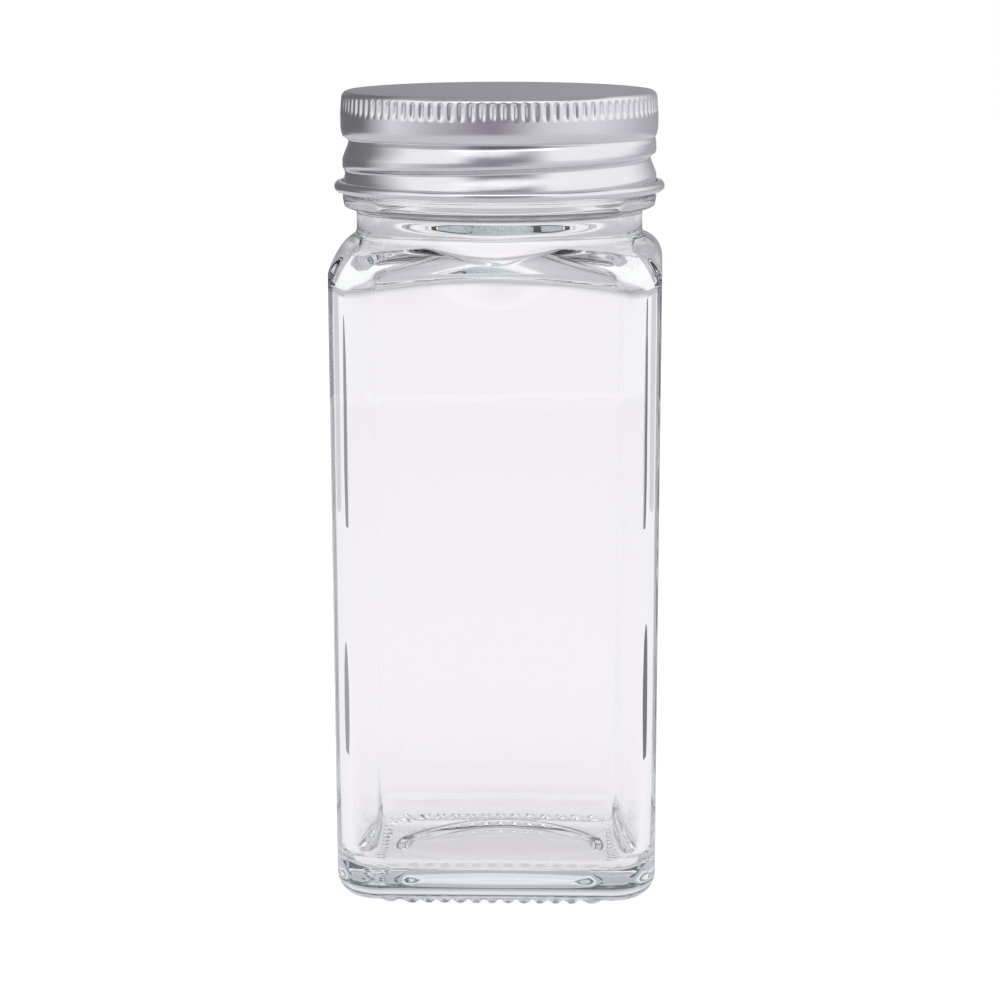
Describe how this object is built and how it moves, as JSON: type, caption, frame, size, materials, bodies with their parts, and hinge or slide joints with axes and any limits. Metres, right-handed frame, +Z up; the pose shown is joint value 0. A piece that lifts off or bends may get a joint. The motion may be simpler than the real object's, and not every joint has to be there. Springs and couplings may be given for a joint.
{
  "type": "spice jar",
  "caption": "Square clear glass spice jar with rounded shoulders, a pressed shaker insert in the neck and a fluted metal screw cap with a foam liner.",
  "frame": {"origin": "on the jar's axis in the plane that it stands on", "axes": "+Z up along the axis of the neck and cap, -Y out of the front face, +X to the right seen from the front"},
  "size_m": [0.0454, 0.0454, 0.11],
  "materials": {
    "flint_glass": "clear moulded glass, fire polished",
    "natural_polypropylene": "moulded, milky and slightly see-through",
    "white_foam": "closed-cell polyethylene foam",
    "cap_aluminium": "drawn sheet, satin with clear lacquer"
  },
  "bodies": {
    "jar": {"glass_jar": "flint_glass"},
    "shaker": {"shaker_insert": "natural_polypropylene"},
    "liner": {"cap_liner": "white_foam"},
    "cap": {"screw_cap": "cap_aluminium"}
  },
  "joints": [
    {"name": "insert_pull", "type": "slide", "parent": "jar", "child": "shaker", "axis": [0, 0, 1], "range_m": [0, 0.02]},
    {"name": "cap_lift", "type": "slide", "parent": "shaker", "child": "liner", "axis": [0, 0, 1], "range_m": [0, 0.0212]},
    {"name": "cap_turn", "type": "hinge", "parent": "liner", "child": "cap", "pos_m": [0, 0, 0.1], "axis": [0, 0, 1], "range_deg": [0, 1800]}
  ],
  "couplings": [
    {"joint": "cap_lift", "follows": "cap_turn", "m_per_rad": 0.0006737}
  ]
}
